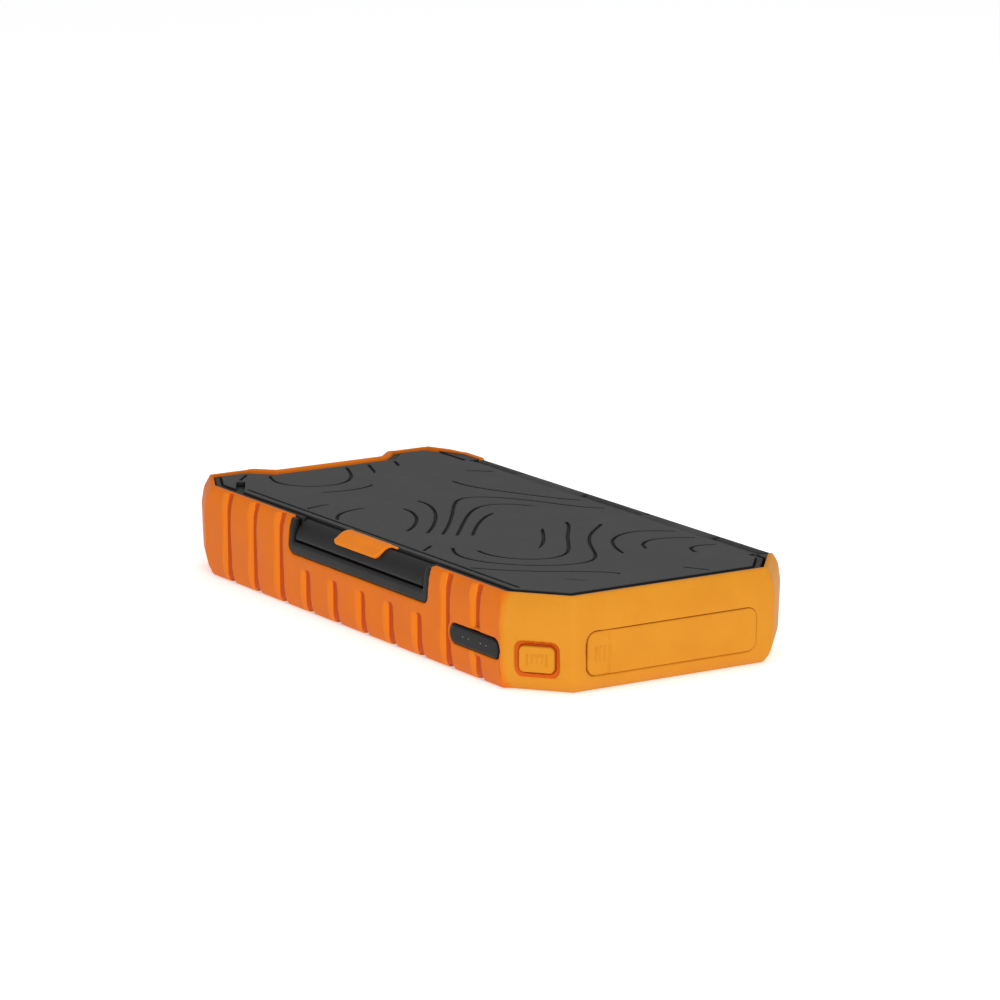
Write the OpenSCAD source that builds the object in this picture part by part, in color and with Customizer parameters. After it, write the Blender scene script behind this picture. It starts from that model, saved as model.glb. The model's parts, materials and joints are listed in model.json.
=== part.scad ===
// Jump starter pack. A rubber sleeve grips a two-part housing. A hinged lid covers an
// accessory well on top, a swinging cover hides the sockets on the right-hand end, and
// the left-hand end has a work light. Millimetres, +X along the length towards the
// sockets, +Z up, origin in the middle of the footprint on the resting plane.

/* [Body] */
// Overall length along X
body_l = 202; // [196:1:212]
// Overall width along Y
body_w = 98; // [96:1:104]
// Overall height along Z
body_h = 29; // [29:0.5:31]
// Corner chamfer at the socket end, measured along X
nose_x = 17; // [15:0.5:18]
// Corner chamfer at the socket end, measured along Y
nose_y = 14.2; // [13:0.2:15]
// Corner chamfer at the light end, measured along X
tail_x = 15.4; // [14:0.2:17]
// Corner chamfer at the light end, measured along Y
tail_y = 7.5; // [7:0.1:8.4]

/* [Sleeve] */
// Thickness of the rubber sleeve's wall
sleeve_t = 2.8; // [2.6:0.1:3]
// Number of grip grooves along each long side
groove_count = 10; // [4:1:10]
// Distance from one grip groove to the next
groove_pitch = 15.9; // [15:0.1:16]
// Width of the deep part of a grip groove
groove_w = 3.5; // [2.6:0.1:3.8]
// Depth of a grip groove
groove_d = 1.8; // [1.2:0.1:1.9]
// Width of the finger window in the front of the sleeve
window_w = 80; // [70:1:84]

/* [Housing] */
// Wall thickness of both housing parts
shell_t = 1.8; // [1.6:0.1:2]
// Height of the joint between the two housing parts
split_z = 17.4; // [17.2:0.1:17.6]
// Inside length of the accessory well
well_l = 124; // [100:1:124]
// Inside width of the accessory well
well_w = 64; // [50:1:64]
// Depth of the accessory well below the deck
well_d = 6.9; // [5:0.1:7]

/* [Lid] */
// Radius of the hinge knuckles
knuckle_r = 2.4; // [2.2:0.1:2.4]
// Radius of the steel hinge pin
pin_r = 0.8; // [0.6:0.1:1]
// Thickness of the rubber pad on the lid
pad_t = 1.5; // [1.3:0.1:1.6]
// Width of the pull tab along X
tab_w = 29; // [20:1:34]

/* [Controls] */
// Width of the power button's cap
button_w = 10.5; // [9:0.5:11]
// Height of the power button's cap
button_h = 7.6; // [6:0.2:8]
// Length of the charge indicator window
indicator_l = 26.7; // [24:0.1:27]
// Height of the charge indicator window
indicator_h = 5.7; // [5:0.1:6]

/* [Sockets] */
// Length of the port cover along Y
cover_l = 58.3; // [57:0.1:59]
// Height of the port cover
cover_h = 12.9; // [12.6:0.1:13]
// Radius of the holes in the two round jump contacts
contact_r = 2.55; // [2.5:0.05:2.6]
// Distance between the two jump contacts
contact_pitch = 8; // [7.8:0.1:8.2]

/* [Hidden] */
$fn = 48;
tiny = 0.01;
over = 1;
half_l = body_l / 2;
half_w = body_w / 2;

// Heights, from the resting plane up
floor_z = 1.2;
floor_t = 1.8;
inside_z = floor_z + floor_t;
lid_top = body_h - 1;
pad_top = lid_top + 0.5;
rim_top = lid_top + 0.4;
lid_z = lid_top - 3.1;
deck_z = lid_z - 0.3;
deck_t = 2;

// Offsets inwards from the body outline
flange_o = 6;
shell_o = sleeve_t + 0.2;
shell_i = shell_o + shell_t;
rim_o = sleeve_t + 0.8;
lid_o = rim_o + 0.3;
pad_o = lid_o + 2.2;
pad_gap = 0.4;
seal_o = shell_o + 0.7;
seal_w = 0.6;

// Recess in the light end
notch_d = 7;
notch_lo = -25.4;
notch_hi = 25.9;
notch_mid = (notch_lo + notch_hi) / 2;

// Grip grooves: where the last one starts, and how high they go under the finger window
groove_last = 69.6;
groove_top = 13.4;

// Finger window and the lid's rounded front
window_x = 5;
window_z = 17;
bezel_t = 2.8;
lip_z = 21;
skirt_r = 6.5;
skirt_t = 2.1;
skirt_z = lid_top - skirt_r;
skirt_y = -half_w + 7.5;
skirt_l = window_w - 2 * bezel_t - 1.2;

// Hinge at the back of the lid
hinge_y = half_w - 3.5;
hinge_z = lid_top - knuckle_r;
hinge_lo = -74;
hinge_hi = 82;
lid_back = hinge_y - knuckle_r - 0.5;
corner_y = lid_back - 1.2;
frame_knuckles = [[-73.5, -50], [-12, 20], [58, 81.5]];
lid_knuckles = [[-49.5, -12.5], [20.5, 57.5]];

// Case screws and the feet that cover them
screw_spots = [[-78, -36], [-78, 36], [79, -34.5], [79, 34.5]];
screw_r = 1.25;
boss_r = 3.2;
foot_r = 4.5;
magnet_spots = [[-50, -38], [60, -38]];
magnet_r = 2.5;
magnet_t = 1.2;

// Accessory well
well_x = -2;
well_y = 1;
well_wall = 1.2;

// Power button, on the front chamfer of the socket end
nose_angle = atan2(nose_y, nose_x);
button_z = 9.8;
button_round = 1.6;
button_ring = 1.4;
button_travel = 0.6;
plunger_r = 1.5;
plunger_end = -5.2;
switch_face = plunger_end - button_travel - 0.1;

// Charge indicator, on the front
indicator_x = 70;
indicator_z = 11.5;
led_spots = [64, 67.1, 73.5, 76.5];

// Sockets, behind the port cover. Its film hinge is the top skin of its far edge, cover_hi
port_z = 11.3;
cover_t = 1.6;
cover_back = half_l - cover_t;
cover_hi = 28.6;
cover_lo = cover_hi - cover_l;
panel_y = 1.5;
panel_l = 44.6;
panel_h = 10.6;
panel_face = half_l - 2.4;
socket_y = 14.6;
usb_a_y = -12;
usb_c_y = 0.5;

// Circuit board
board_lo = [60, -28, 6.8];
board_hi = [94, 28, 8.4];
board_spots = [[63.5, -24.5], [63.5, 24.5], [90, -24.5]];

// Battery cells, in two stacks of two
cell_l = 116;
cell_w = 40;
cell_t = 5.9;
cell_x = -66;
cell_z = inside_z + 0.65;
cell_step = cell_t + 0.1;
tab_spots = [-31, -11, 11, 31];

// ---- shared outlines and shapes -------------------------------------------------

function leg(along, across, t) = along - t * (1 - (norm([along, across]) - along) / across);

// The body outline moved inwards by t, with the chamfered corners and the end recess
function outline(t) = let (
    x = half_l - t,
    y = half_w - t,
    nx = leg(nose_x, nose_y, t),
    ny = leg(nose_y, nose_x, t),
    tx = leg(tail_x, tail_y, t),
    ty = leg(tail_y, tail_x, t),
    lo = notch_lo - t * (sqrt(2) - 1),
    hi = notch_hi + t * (sqrt(2) - 1))
    [[x - nx, -y], [x, -y + ny], [x, y - ny], [x - nx, y], [-x + tx, y], [-x, y - ty],
     [-x, hi], [-x + notch_d, hi - notch_d], [-x + notch_d, lo + notch_d], [-x, lo],
     [-x, -y + ty], [-x + tx, -y]];

// Vertical barrel shape of the sleeve: height, then the inset at the socket end, the sides and
// the light end
barrel = [[0, 3.1, 2, 3.1], [2.6, 1.1, 0.9, 1.1], [6, 0.3, 0.4, 0.3], [body_h - 9, 0, 0, 0],
    [body_h - 4, 0.6, 0.4, 0.9], [body_h, 2.3, 1.6, 3.2]];

module block(lo, hi) translate(lo) cube(hi - lo);

module prism(points, z0, z1) translate([0, 0, z0]) linear_extrude(z1 - z0) polygon(points);

module post(spot, r, z0, z1) translate([spot[0], spot[1], z0]) cylinder(r = r, h = z1 - z0);

module rod_x(x0, x1, y, z, r) translate([x0, y, z]) rotate([0, 90, 0]) cylinder(r = r, h = x1 - x0);

// Rounded rectangle, extruded from z0 to z1
module plate(w, h, r, z0, z1) translate([0, 0, z0]) linear_extrude(z1 - z0) {
    square([w - 2 * r, h], center = true);
    if (h > 2 * r) square([w, h - 2 * r], center = true);
    for (sx = [-1, 1], sy = [-1, 1]) translate([sx * (w / 2 - r), sy * (h / 2 - r)]) circle(r = r);
}

// Local frames on the outer faces: local X along the face, local Y up, local Z outwards
module on_front(x, z) translate([x, -half_w, z]) rotate([90, 0, 0]) children();
module on_socket_end(y, z) translate([half_l, y, z]) rotate([90, 0, 90]) children();
module on_light_end(y, z) translate([-half_l + notch_d, y, z]) rotate([90, 0, -90]) children();
module on_button_face() translate([half_l - nose_x / 2, -half_w + nose_y / 2, button_z])
    rotate([90, 0, nose_angle]) children();

// ---- sleeve ---------------------------------------------------------------------

module barrel_body() hull() for (s = barrel) let (
    x = half_l - s[1],
    y = half_w - s[2],
    back = -half_l + s[3],
    z = min(s[0], body_h - tiny))
    prism([[x - nose_x, -y], [x, -y + nose_y], [x, y - nose_y], [x - nose_x, y],
        [back + tail_x, y], [back, y - tail_y], [back, -y + tail_y], [back + tail_x, -y]], z, z + tiny);

// Lowers the rim everywhere but at the light end, where it sweeps up to the full height
module rim_cut() translate([0, half_w + over, 0]) rotate([90, 0, 0]) linear_extrude(body_w + 2 * over)
    polygon([[-half_l + 11, body_h], [-half_l + 17, rim_top], [half_l + over, rim_top],
        [half_l + over, body_h + over], [-half_l + 11, body_h + over]]);

module notch_cut() prism([[-half_l - over, notch_lo - over], [-half_l + notch_d, notch_lo + notch_d],
    [-half_l + notch_d, notch_hi - notch_d], [-half_l - over, notch_hi + over]], -over, body_h + over);

// One grip groove on the front: a sloping shoulder that runs into a deep slot
module groove(x, top) {
    prism([[x - 2.3, -half_w - over], [x - 1.7, -half_w], [x, -half_w + 0.8],
        [x, -half_w + groove_d], [x + groove_w, -half_w + groove_d], [x + groove_w, -half_w - over]],
        -over, top);
    block([x, -half_w - over, -over], [x + groove_w, -half_w + flange_o - 1.5, floor_z - 0.2]);
}

module grooves() {
    first = groove_last - (groove_count - 1) * groove_pitch;
    for (i = [0:groove_count - 1]) let (
        x = first + i * groove_pitch,
        under = x > window_x - window_w / 2 - 2 && x < window_x + window_w / 2) {
        groove(x, under ? groove_top : body_h + over);
        mirror([0, 1, 0]) groove(x, body_h + over);
    }
}

// Outline of the port cover, grown by a gap on every side but its hinge
module cover_shape(gap, z0, z1) on_socket_end((cover_lo - gap + cover_hi) / 2, port_z)
    plate(cover_hi - cover_lo + gap, cover_h + 2 * gap, 3 + gap, z0, z1);

module port_cutouts() {
    cover_shape(0.3, -cover_t - 0.1, over);
    on_socket_end(panel_y, port_z) plate(panel_l + 0.4, panel_h + 0.4, 1.8, -sleeve_t - over, over);
}

module bumper() color("darkorange") difference() {
    barrel_body();
    rim_cut();
    notch_cut();
    prism(outline(sleeve_t), floor_z, deck_z + 0.2);
    prism(outline(flange_o), -over, floor_z + tiny);
    prism(outline(rim_o), deck_z, body_h + over);
    grooves();
    on_front(window_x, window_z + 20) plate(window_w, 40, 3, -rim_o - over, over);
    block([hinge_lo - 1, half_w - rim_o - over, 20], [hinge_hi + 1.4, half_w + over, body_h + over]);
    on_front(indicator_x, indicator_z)
        plate(indicator_l + 0.6, indicator_h + 0.6, indicator_h / 2 + 0.3, -sleeve_t - over, over);
    on_button_face() {
        plate(button_w + 2 * button_ring, button_h + 2 * button_ring, button_round + 0.8, -1, over);
        plate(button_w + 0.6, button_h + 0.6, button_round + 0.3, -sleeve_t - over, 0);
        plate(button_w + 2.9, button_h + 2.9, button_round + 0.6, -sleeve_t - over, -1.8);
    }
    port_cutouts();
    on_light_end(notch_mid, 12) plate(27.6, 11.6, 3.3, -sleeve_t - over, over);
}

// ---- housing --------------------------------------------------------------------

module bottom_shell() color("dimgray") difference() {
    union() {
        difference() {
            prism(outline(shell_o), floor_z, split_z);
            prism(outline(shell_i), inside_z, split_z + over);
        }
        for (s = screw_spots) post(s, boss_r, inside_z - tiny, split_z);
        for (s = board_spots) post(s, 2.6, inside_z - tiny, board_lo[2]);
        block([cell_x, -0.6, inside_z - tiny], [cell_x + cell_l, 0.6, 12]);
        block([cell_x - 2.5, -41, inside_z - tiny], [cell_x - 1.5, 41, 12]);
    }
    difference() {
        prism(outline(seal_o - 0.1), split_z - 0.4, split_z + over);
        prism(outline(seal_o + seal_w + 0.1), split_z - 0.4 - over, split_z + 2 * over);
    }
    for (s = screw_spots) {
        post(s, 2.5, floor_z - over, floor_z + 2.2);
        post(s, screw_r + 0.2, floor_z, split_z + over);
    }
    for (s = board_spots) post(s, 1.05, inside_z + 0.4, board_lo[2] + over);
    on_socket_end(panel_y, port_z) plate(panel_l + 0.2, panel_h + 0.2, 1.7, -shell_i - over, 0);
    for (x = led_spots) on_front(x, indicator_z) translate([0, 0, -shell_i - over]) cylinder(r = 1, h = 5);
    on_button_face() {
        plate(button_w + 2.9, button_h + 2.9, button_round + 0.6, -shell_o - 1, 0);
        translate([0, 0, -shell_i - over]) cylinder(r = plunger_r + 0.3, h = 4);
    }
    on_light_end(notch_mid, 12) plate(25, 9.2, 2.4, -shell_i - over, 0);
}

module well_box(grow, z0, z1) block(
    [well_x - well_l / 2 - grow, well_y - well_w / 2 - grow, z0],
    [well_x + well_l / 2 + grow, well_y + well_w / 2 + grow, z1]);

module gasket_ring(slack, z0, z1) difference() {
    well_box(3.9 + slack, z0, z1);
    well_box(2.5 - slack, z0 - over, z1 + over);
}

module knuckle(span, r) rod_x(span[0], span[1], hinge_y, hinge_z, r);

module top_frame() color("dimgray") difference() {
    union() {
        difference() {
            union() {
                difference() {
                    prism(outline(shell_o), split_z, deck_z);
                    prism(outline(shell_i), split_z - over, deck_z - deck_t);
                }
                well_box(well_wall, deck_z - well_d - well_wall, deck_z);
                for (s = screw_spots) post(s, boss_r, split_z, deck_z - deck_t + tiny);
                // wall and shelf behind the lid's rounded front
                block([window_x - 39, -half_w + shell_o + tiny, lip_z - 1.6],
                    [window_x + 39, skirt_y + 0.3, lip_z]);
                block([window_x - 39, skirt_y - 1.7, split_z], [window_x + 39, skirt_y + 0.3, deck_z]);
            }
            block([window_x - 37.2, -half_w, lip_z], [window_x + 37.2, skirt_y - 1.7, deck_z + over]);
            block([hinge_lo - 0.4, hinge_y - knuckle_r - 0.3, deck_z - deck_t],
                [hinge_hi + 0.8, half_w, deck_z + over]);
        }
        for (k = frame_knuckles) {
            knuckle(k, knuckle_r);
            block([k[0], hinge_y - knuckle_r, deck_z - 3.6], [k[1], hinge_y + knuckle_r, hinge_z]);
        }
        // fixed corners behind the lid, on both sides of the hinge
        intersection() {
            prism(outline(rim_o + 0.1), deck_z - tiny, lid_top);
            union() {
                block([-half_l, corner_y, deck_z - 1], [hinge_lo - 1, half_w, body_h]);
                block([hinge_hi + 1, corner_y, deck_z - 1], [half_l, half_w, body_h]);
            }
        }
    }
    rod_x(hinge_lo + 1, hinge_hi + over, hinge_y, hinge_z, pin_r + 0.02);
    well_box(0, deck_z - well_d, deck_z + over);
    gasket_ring(0.1, deck_z - 0.6, deck_z + over);
    difference() {
        prism(outline(seal_o - 0.1), split_z - over, split_z + 0.4);
        prism(outline(seal_o + seal_w + 0.1), split_z - 2 * over, split_z + 0.4 + over);
    }
    for (s = screw_spots) post(s, screw_r + 0.05, split_z - over, deck_z - deck_t - 0.2);
    for (s = magnet_spots) post(s, magnet_r + 0.1, deck_z - magnet_t - 0.3, deck_z + over);
}

// Black frame that fills the sleeve's window around the lid's rounded front
module window_bezel() color("black") difference() {
    intersection() {
        translate([window_x - window_w / 2, 0, 0]) rotate([90, 0, 90]) linear_extrude(window_w)
            polygon([[-half_w + shell_o - 0.05, window_z], [-half_w + 0.3, window_z],
                [-half_w + 0.3, 23.5], [-half_w + 0.7, body_h - 3.8], [-half_w + 2.1, lid_top - 0.2],
                [-half_w + shell_o - 0.05, lid_top - 0.2]]);
        on_front(window_x, window_z + 20.2) plate(window_w - 0.4, 40, 2.8, -rim_o - over, over);
    }
    block([window_x - window_w / 2 + bezel_t, -half_w - over, lip_z],
        [window_x + window_w / 2 - bezel_t, 0, body_h]);
}

module shell_seal() color("black") difference() {
    prism(outline(seal_o), split_z - 0.36, split_z + 0.36);
    prism(outline(seal_o + seal_w), split_z - over, split_z + over);
}

module rubber_feet() color("black") for (s = screw_spots) post(s, foot_r, 0, floor_z);

module case_screws() color("silver") for (s = screw_spots) {
    post(s, 2.3, floor_z + 0.4, floor_z + 2.2);
    post(s, screw_r, floor_z + 2.2 - tiny, deck_z - deck_t - 1);
}

// ---- lid ------------------------------------------------------------------------

// Plan of the lid inside the rim, set in at the back so that it clears the rim as it lifts
module lid_area(t) difference() {
    intersection() {
        polygon(outline(t));
        translate([0, -0.9]) polygon(outline(t));
    }
    translate([-half_l, lid_back - (t - lid_o)]) square([body_l, 20]);
    translate([-half_l, lid_back - 2 - (t - lid_o)]) square([half_l + hinge_lo - 0.5, 20]);
    translate([hinge_hi + 0.5, lid_back - 2 - (t - lid_o)]) square([half_l, 20]);
}

// Quarter-round strip along X at the front of the lid, between two radii and two angles
module front_arc(x0, x1, r0, r1, a0, a1) translate([x0, skirt_y, skirt_z]) rotate([90, 0, 90])
    linear_extrude(x1 - x0) difference() {
        intersection() {
            circle(r = r1);
            polygon([[0, 0], 20 * [cos(a0), sin(a0)], 20 * [cos((a0 + a1) / 2), sin((a0 + a1) / 2)],
                20 * [cos(a1), sin(a1)]]);
        }
        circle(r = r0);
    }

module lid_shell() color("black") difference() {
    union() {
        difference() {
            translate([0, 0, lid_z]) linear_extrude(lid_top - lid_z) lid_area(lid_o);
            block([window_x - skirt_l / 2 - 0.3, -half_w, lid_z - over],
                [window_x + skirt_l / 2 + 0.3, skirt_y - tiny, lid_top + over]);
        }
        front_arc(window_x - skirt_l / 2, window_x + skirt_l / 2, skirt_r - skirt_t, skirt_r, 90, 180);
        block([window_x - skirt_l / 2, skirt_y - tiny, lid_top - skirt_t],
            [window_x + skirt_l / 2, skirt_y + over, lid_top]);
        for (k = lid_knuckles) {
            knuckle(k, knuckle_r);
            block([k[0], lid_back - over, hinge_z], [k[1], hinge_y, lid_top]);
        }
    }
    for (k = lid_knuckles) rod_x(k[0] - over, k[1] + over, hinge_y, hinge_z, pin_r + 0.06);
    translate([0, 0, pad_top - pad_t]) linear_extrude(pad_t) lid_area(pad_o - pad_gap);
    for (s = magnet_spots) post(s, magnet_r + 0.1, lid_z - over, lid_z + magnet_t + 0.1);
}

module lid_pad() color("gray") translate([0, 0, pad_top - pad_t]) linear_extrude(pad_t)
    difference() {
        lid_area(pad_o);
        // slot beside the front chamfer of the light end
        translate([-half_l + 22.5, -half_w + 8.9]) rotate(-31) square([14, 2.6], center = true);
    }

module pull_tab() color("darkorange") {
    front_arc(window_x - tab_w / 2, window_x + tab_w / 2, skirt_r + 0.05, skirt_r + 0.75, 104, 125);
    front_arc(window_x - tab_w / 2 + 2, window_x + tab_w / 2 - 2, skirt_r + 0.05, skirt_r + 0.75, 124, 153);
    // thicker lip for a fingertip
    front_arc(window_x - tab_w / 2 + 2, window_x + tab_w / 2 - 2, skirt_r + 0.7, skirt_r + 1.4, 138, 153);
}

module lid_pin() color("silver") rod_x(hinge_lo + 1.2, hinge_hi - 1, hinge_y, hinge_z, pin_r);

module lid_gasket() color("black") gasket_ring(0, deck_z - 0.55, deck_z + 0.25);

module lid_magnets() color("silver") for (s = magnet_spots) post(s, magnet_r, lid_z, lid_z + magnet_t);

module catch_magnets() color("silver")
    for (s = magnet_spots) post(s, magnet_r, deck_z - magnet_t - 0.1, deck_z - 0.1);

// ---- port cover and sockets -----------------------------------------------------

module port_cover() color("orange") {
    difference() {
        intersection() {
            cover_shape(0, -cover_t, 0);
            translate([0, cover_lo, 0]) rotate([90, 0, 0]) mirror([0, 0, 1]) linear_extrude(cover_l)
                polygon([[cover_back, 0], [half_l - 0.6, 4], [half_l - 0.05, 7], [half_l, 9],
                    [half_l, 20], [cover_back, 20]]);
        }
        // finger end, a little lower than the rest, with three grip grooves
        block([half_l - 0.25, cover_lo - over, 0], [half_l + over, cover_lo + 7.4, 20]);
        for (i = [-1:1]) block([half_l - 0.6, cover_lo + 4.2 + 1.3 * i, port_z - 2.2],
            [half_l, cover_lo + 4.7 + 1.3 * i, port_z + 2.2]);
    }
    // sealing rim that presses into the socket recess
    on_socket_end(panel_y - 0.3, port_z) difference() {
        plate(41, 9.4, 1.6, -cover_t - 0.65, -cover_t + tiny);
        plate(39, 7.4, 0.8, -cover_t - over, -cover_t + over);
    }
}

module port_panel() color("black") difference() {
    union() {
        on_socket_end(panel_y, port_z)
            plate(panel_l, panel_h, 1.6, panel_face - half_l - 2.6, panel_face - half_l);
        on_socket_end(panel_y, port_z) plate(panel_l + 2.4, panel_h + 1, 2, -shell_i - 1.2, -shell_i - 0.1);
    }
    on_socket_end(usb_a_y, port_z) plate(13.3, 5.9, 0.3, -10, 0);
    on_socket_end(usb_c_y, port_z) plate(9.2, 3.5, 1.7, -10, 0);
    on_socket_end(socket_y, port_z) plate(16, 8.8, 2.1, -10, 0);
}

module jump_socket() color("royalblue") difference() {
    on_socket_end(socket_y, port_z) plate(15.8, 8.6, 2, -21, -2.6);
    for (s = [-1, 1]) rod_x(half_l - 22, half_l, socket_y + s * contact_pitch / 2, port_z, 3.15);
}

module jump_contacts() color("gold") for (s = [-1, 1]) difference() {
    rod_x(half_l - 21, half_l - 3.6, socket_y + s * contact_pitch / 2, port_z, 3.1);
    rod_x(half_l - 16.6, half_l, socket_y + s * contact_pitch / 2, port_z, contact_r);
    rod_x(half_l - 22, half_l - 18, socket_y + s * contact_pitch / 2, port_z, 2.2);
}

module usb_a_shell() color("silver") difference() {
    on_socket_end(usb_a_y, port_z) plate(13.1, 5.7, 0.5, -17, -2.6);
    on_socket_end(usb_a_y, port_z) plate(12.5, 5.1, 0.3, -16.6, 0);
}

module usb_a_tongue() color("white")
    on_socket_end(usb_a_y, port_z + 1.2) plate(11.1, 1.8, 0.2, -16.55, -4.4);

module usb_c_shell() color("silver") {
    difference() {
        on_socket_end(usb_c_y, port_z) plate(8.9, 3.2, 1.55, -11, -2.6);
        on_socket_end(usb_c_y, port_z) plate(8.3, 2.6, 1.25, -10.6, 0);
    }
    for (s = [-1, 1]) block([half_l - 10.5, usb_c_y + s * 3.6 - 0.3, board_hi[2]],
        [half_l - 7.5, usb_c_y + s * 3.6 + 0.3, port_z - 1.3]);
}

module usb_c_tongue() color("black") on_socket_end(usb_c_y, port_z) plate(6.7, 0.7, 0.2, -10.55, -4);

// ---- controls -------------------------------------------------------------------

module button_cap() color("darkorange") on_button_face() {
    plate(button_w, button_h, button_round, -2.5, 0.05);
    plate(button_w + 1.9, button_h + 1.9, button_round + 0.4, -2.55, -1.9);
    translate([0, 0, plunger_end]) cylinder(r = plunger_r, h = -plunger_end - 2.5);
}

module tact_switch() color("silver") on_button_face() {
    plate(6, 6, 0.3, -7.6, switch_face - 0.5);
    translate([0, 0, switch_face - 0.6]) cylinder(r = 1.6, h = 0.6);
}

module switch_board() color("green") on_button_face() plate(12, 9, 0.5, -8.8, -7.6);

module indicator_lens() color("black") on_front(indicator_x, indicator_z)
    plate(indicator_l, indicator_h, indicator_h / 2, -sleeve_t - 0.05, 0);

module light_guide() color("white") {
    on_front(indicator_x + 0.3, indicator_z) plate(18, 4, 1, -shell_i - 1, -shell_i - 0.1);
    for (x = led_spots) on_front(x, indicator_z) translate([0, 0, -shell_i - 0.15])
        cylinder(r = 0.9, h = shell_i - sleeve_t);
}

module indicator_leds() color("white") for (x = led_spots)
    on_front(x, indicator_z) plate(1.6, 1.2, 0.1, -shell_i - 2.1, -shell_i - 1.3);

module indicator_board() color("green") on_front(69, indicator_z) plate(22, 9, 0.5, -shell_i - 3.3, -shell_i - 2.1);

// ---- work light -----------------------------------------------------------------

module light_lens() color("lightblue") on_light_end(notch_mid, 12) plate(27, 11, 3, -sleeve_t, -0.2);

module light_reflector() color("silver") on_light_end(notch_mid, 12) difference() {
    plate(24.6, 8.8, 2.2, -9.6, -shell_o);
    for (i = [-1:1]) translate([8 * i, 0, -9.6 - tiny]) cylinder(r1 = 1.6, r2 = 3.8, h = 6.7);
}

module light_leds() color("gold") on_light_end(notch_mid, 12)
    for (i = [-1:1]) translate([8 * i, 0, 0]) plate(1.8, 1.8, 0.2, -9.8, -9.1);

module light_board() color("green") on_light_end(notch_mid, 12) plate(26, 10, 0.5, -11, -9.8);

// ---- battery and electronics ----------------------------------------------------

// One pouch cell, numbered 0 to 3: two in the front stack, two in the back one
module cell(i) {
    y0 = i < 2 ? -cell_w - 0.8 : 0.8;
    z0 = cell_z + (i % 2) * cell_step;
    block([cell_x, y0, z0], [cell_x + cell_l, y0 + cell_w, z0 + cell_t]);
    block([cell_x + cell_l - tiny, y0 + 1, z0 + 2.2], [cell_x + cell_l + 2, y0 + cell_w - 1, z0 + 3.7]);
}

module cell_1() color("lightslategray") cell(0);
module cell_2() color("slategray") cell(1);
module cell_3() color("lightslategray") cell(2);
module cell_4() color("slategray") cell(3);

module cell_pads() color("dimgray") for (s = [-1, 1]) {
    block([cell_x + 6, s * 20.8 - 17, inside_z], [cell_x + 110, s * 20.8 + 17, cell_z]);
    block([cell_x + 6, s * 20.8 - 17, cell_z + 2 * cell_step - 0.1],
        [cell_x + 110, s * 20.8 + 17, cell_z + 2 * cell_step + 0.6]);
}

module cell_tabs() color("gainsboro") for (y = tab_spots, i = [0, 1])
    block([cell_x + cell_l + 2, y - 4, cell_z + i * cell_step + 2.8],
        [cell_x + cell_l + 5, y + 4, cell_z + i * cell_step + 3.1]);

module busbars() color("silver") for (span = [[-36, -6], [6.5, 14.8], [15.6, 36]])
    block([cell_x + cell_l + 5, span[0], 4.5], [cell_x + cell_l + 5.8, span[1], 14.5]);

module lead_red() color("red")
    rod_x(cell_x + cell_l + 5.8, half_l - 18, socket_y - contact_pitch / 2, port_z, 2.1);

module lead_black() color("black")
    rod_x(cell_x + cell_l + 5.8, half_l - 18, socket_y + contact_pitch / 2, port_z, 2.1);

module main_board() color("green") difference() {
    block(board_lo, board_hi);
    block([half_l - 22, 6, board_lo[2] - over], board_hi + [over, over, over]);
    for (s = board_spots) post(s, 1.15, board_lo[2] - over, board_hi[2] + over);
}

module board_screws() color("silver") for (s = board_spots) {
    post(s, 2, board_hi[2], board_hi[2] + 1.2);
    post(s, 1, inside_z + 1, board_hi[2] + tiny);
}

module mosfets() color("black") for (i = [0:2], j = [0:1])
    block([64 + 5.4 * i, -16 + 9 * j, board_hi[2]], [68.4 + 5.4 * i, -9.5 + 9 * j, board_hi[2] + 1.2]);

module heat_spreader() color("silver") {
    block([63, -17, board_hi[2] + 1.2], [81, 1, board_hi[2] + 2.4]);
    for (i = [0:5]) block([64 + 3 * i, -17, board_hi[2] + 2.4 - tiny], [65 + 3 * i, 1, board_hi[2] + 5.6]);
}

module inductor() color("dimgray") {
    block([71, -27, board_hi[2]], [79, -19, board_hi[2] + 1]);
    post([75, -23], 3.8, board_hi[2] + 1 - tiny, board_hi[2] + 5);
}

module capacitors() color("navy") for (x = [69, 76]) post([x, 24.6], 3, board_hi[2], board_hi[2] + 7);

bumper();
bottom_shell();
top_frame();
window_bezel();
shell_seal();
rubber_feet();
case_screws();
lid_shell();
lid_pad();
pull_tab();
lid_pin();
lid_gasket();
lid_magnets();
catch_magnets();
port_cover();
port_panel();
jump_socket();
jump_contacts();
usb_a_shell();
usb_a_tongue();
usb_c_shell();
usb_c_tongue();
button_cap();
tact_switch();
switch_board();
indicator_lens();
light_guide();
indicator_leds();
indicator_board();
light_lens();
light_reflector();
light_leds();
light_board();
cell_1();
cell_2();
cell_3();
cell_4();
cell_pads();
cell_tabs();
busbars();
lead_red();
lead_black();
main_board();
board_screws();
mosfets();
heat_spreader();
inductor();
capacitors();
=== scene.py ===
"""Jump starter pack: a rubber sleeve round a black housing, with a hinged lid, a port cover and
a power button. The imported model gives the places. The outer pieces are rebuilt here as finer
meshes from distance fields, in millimetres, and every piece gets a procedural material."""

import json
import math

import bpy
import numpy as np
import openvdb
from mathutils import Matrix, Vector


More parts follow.
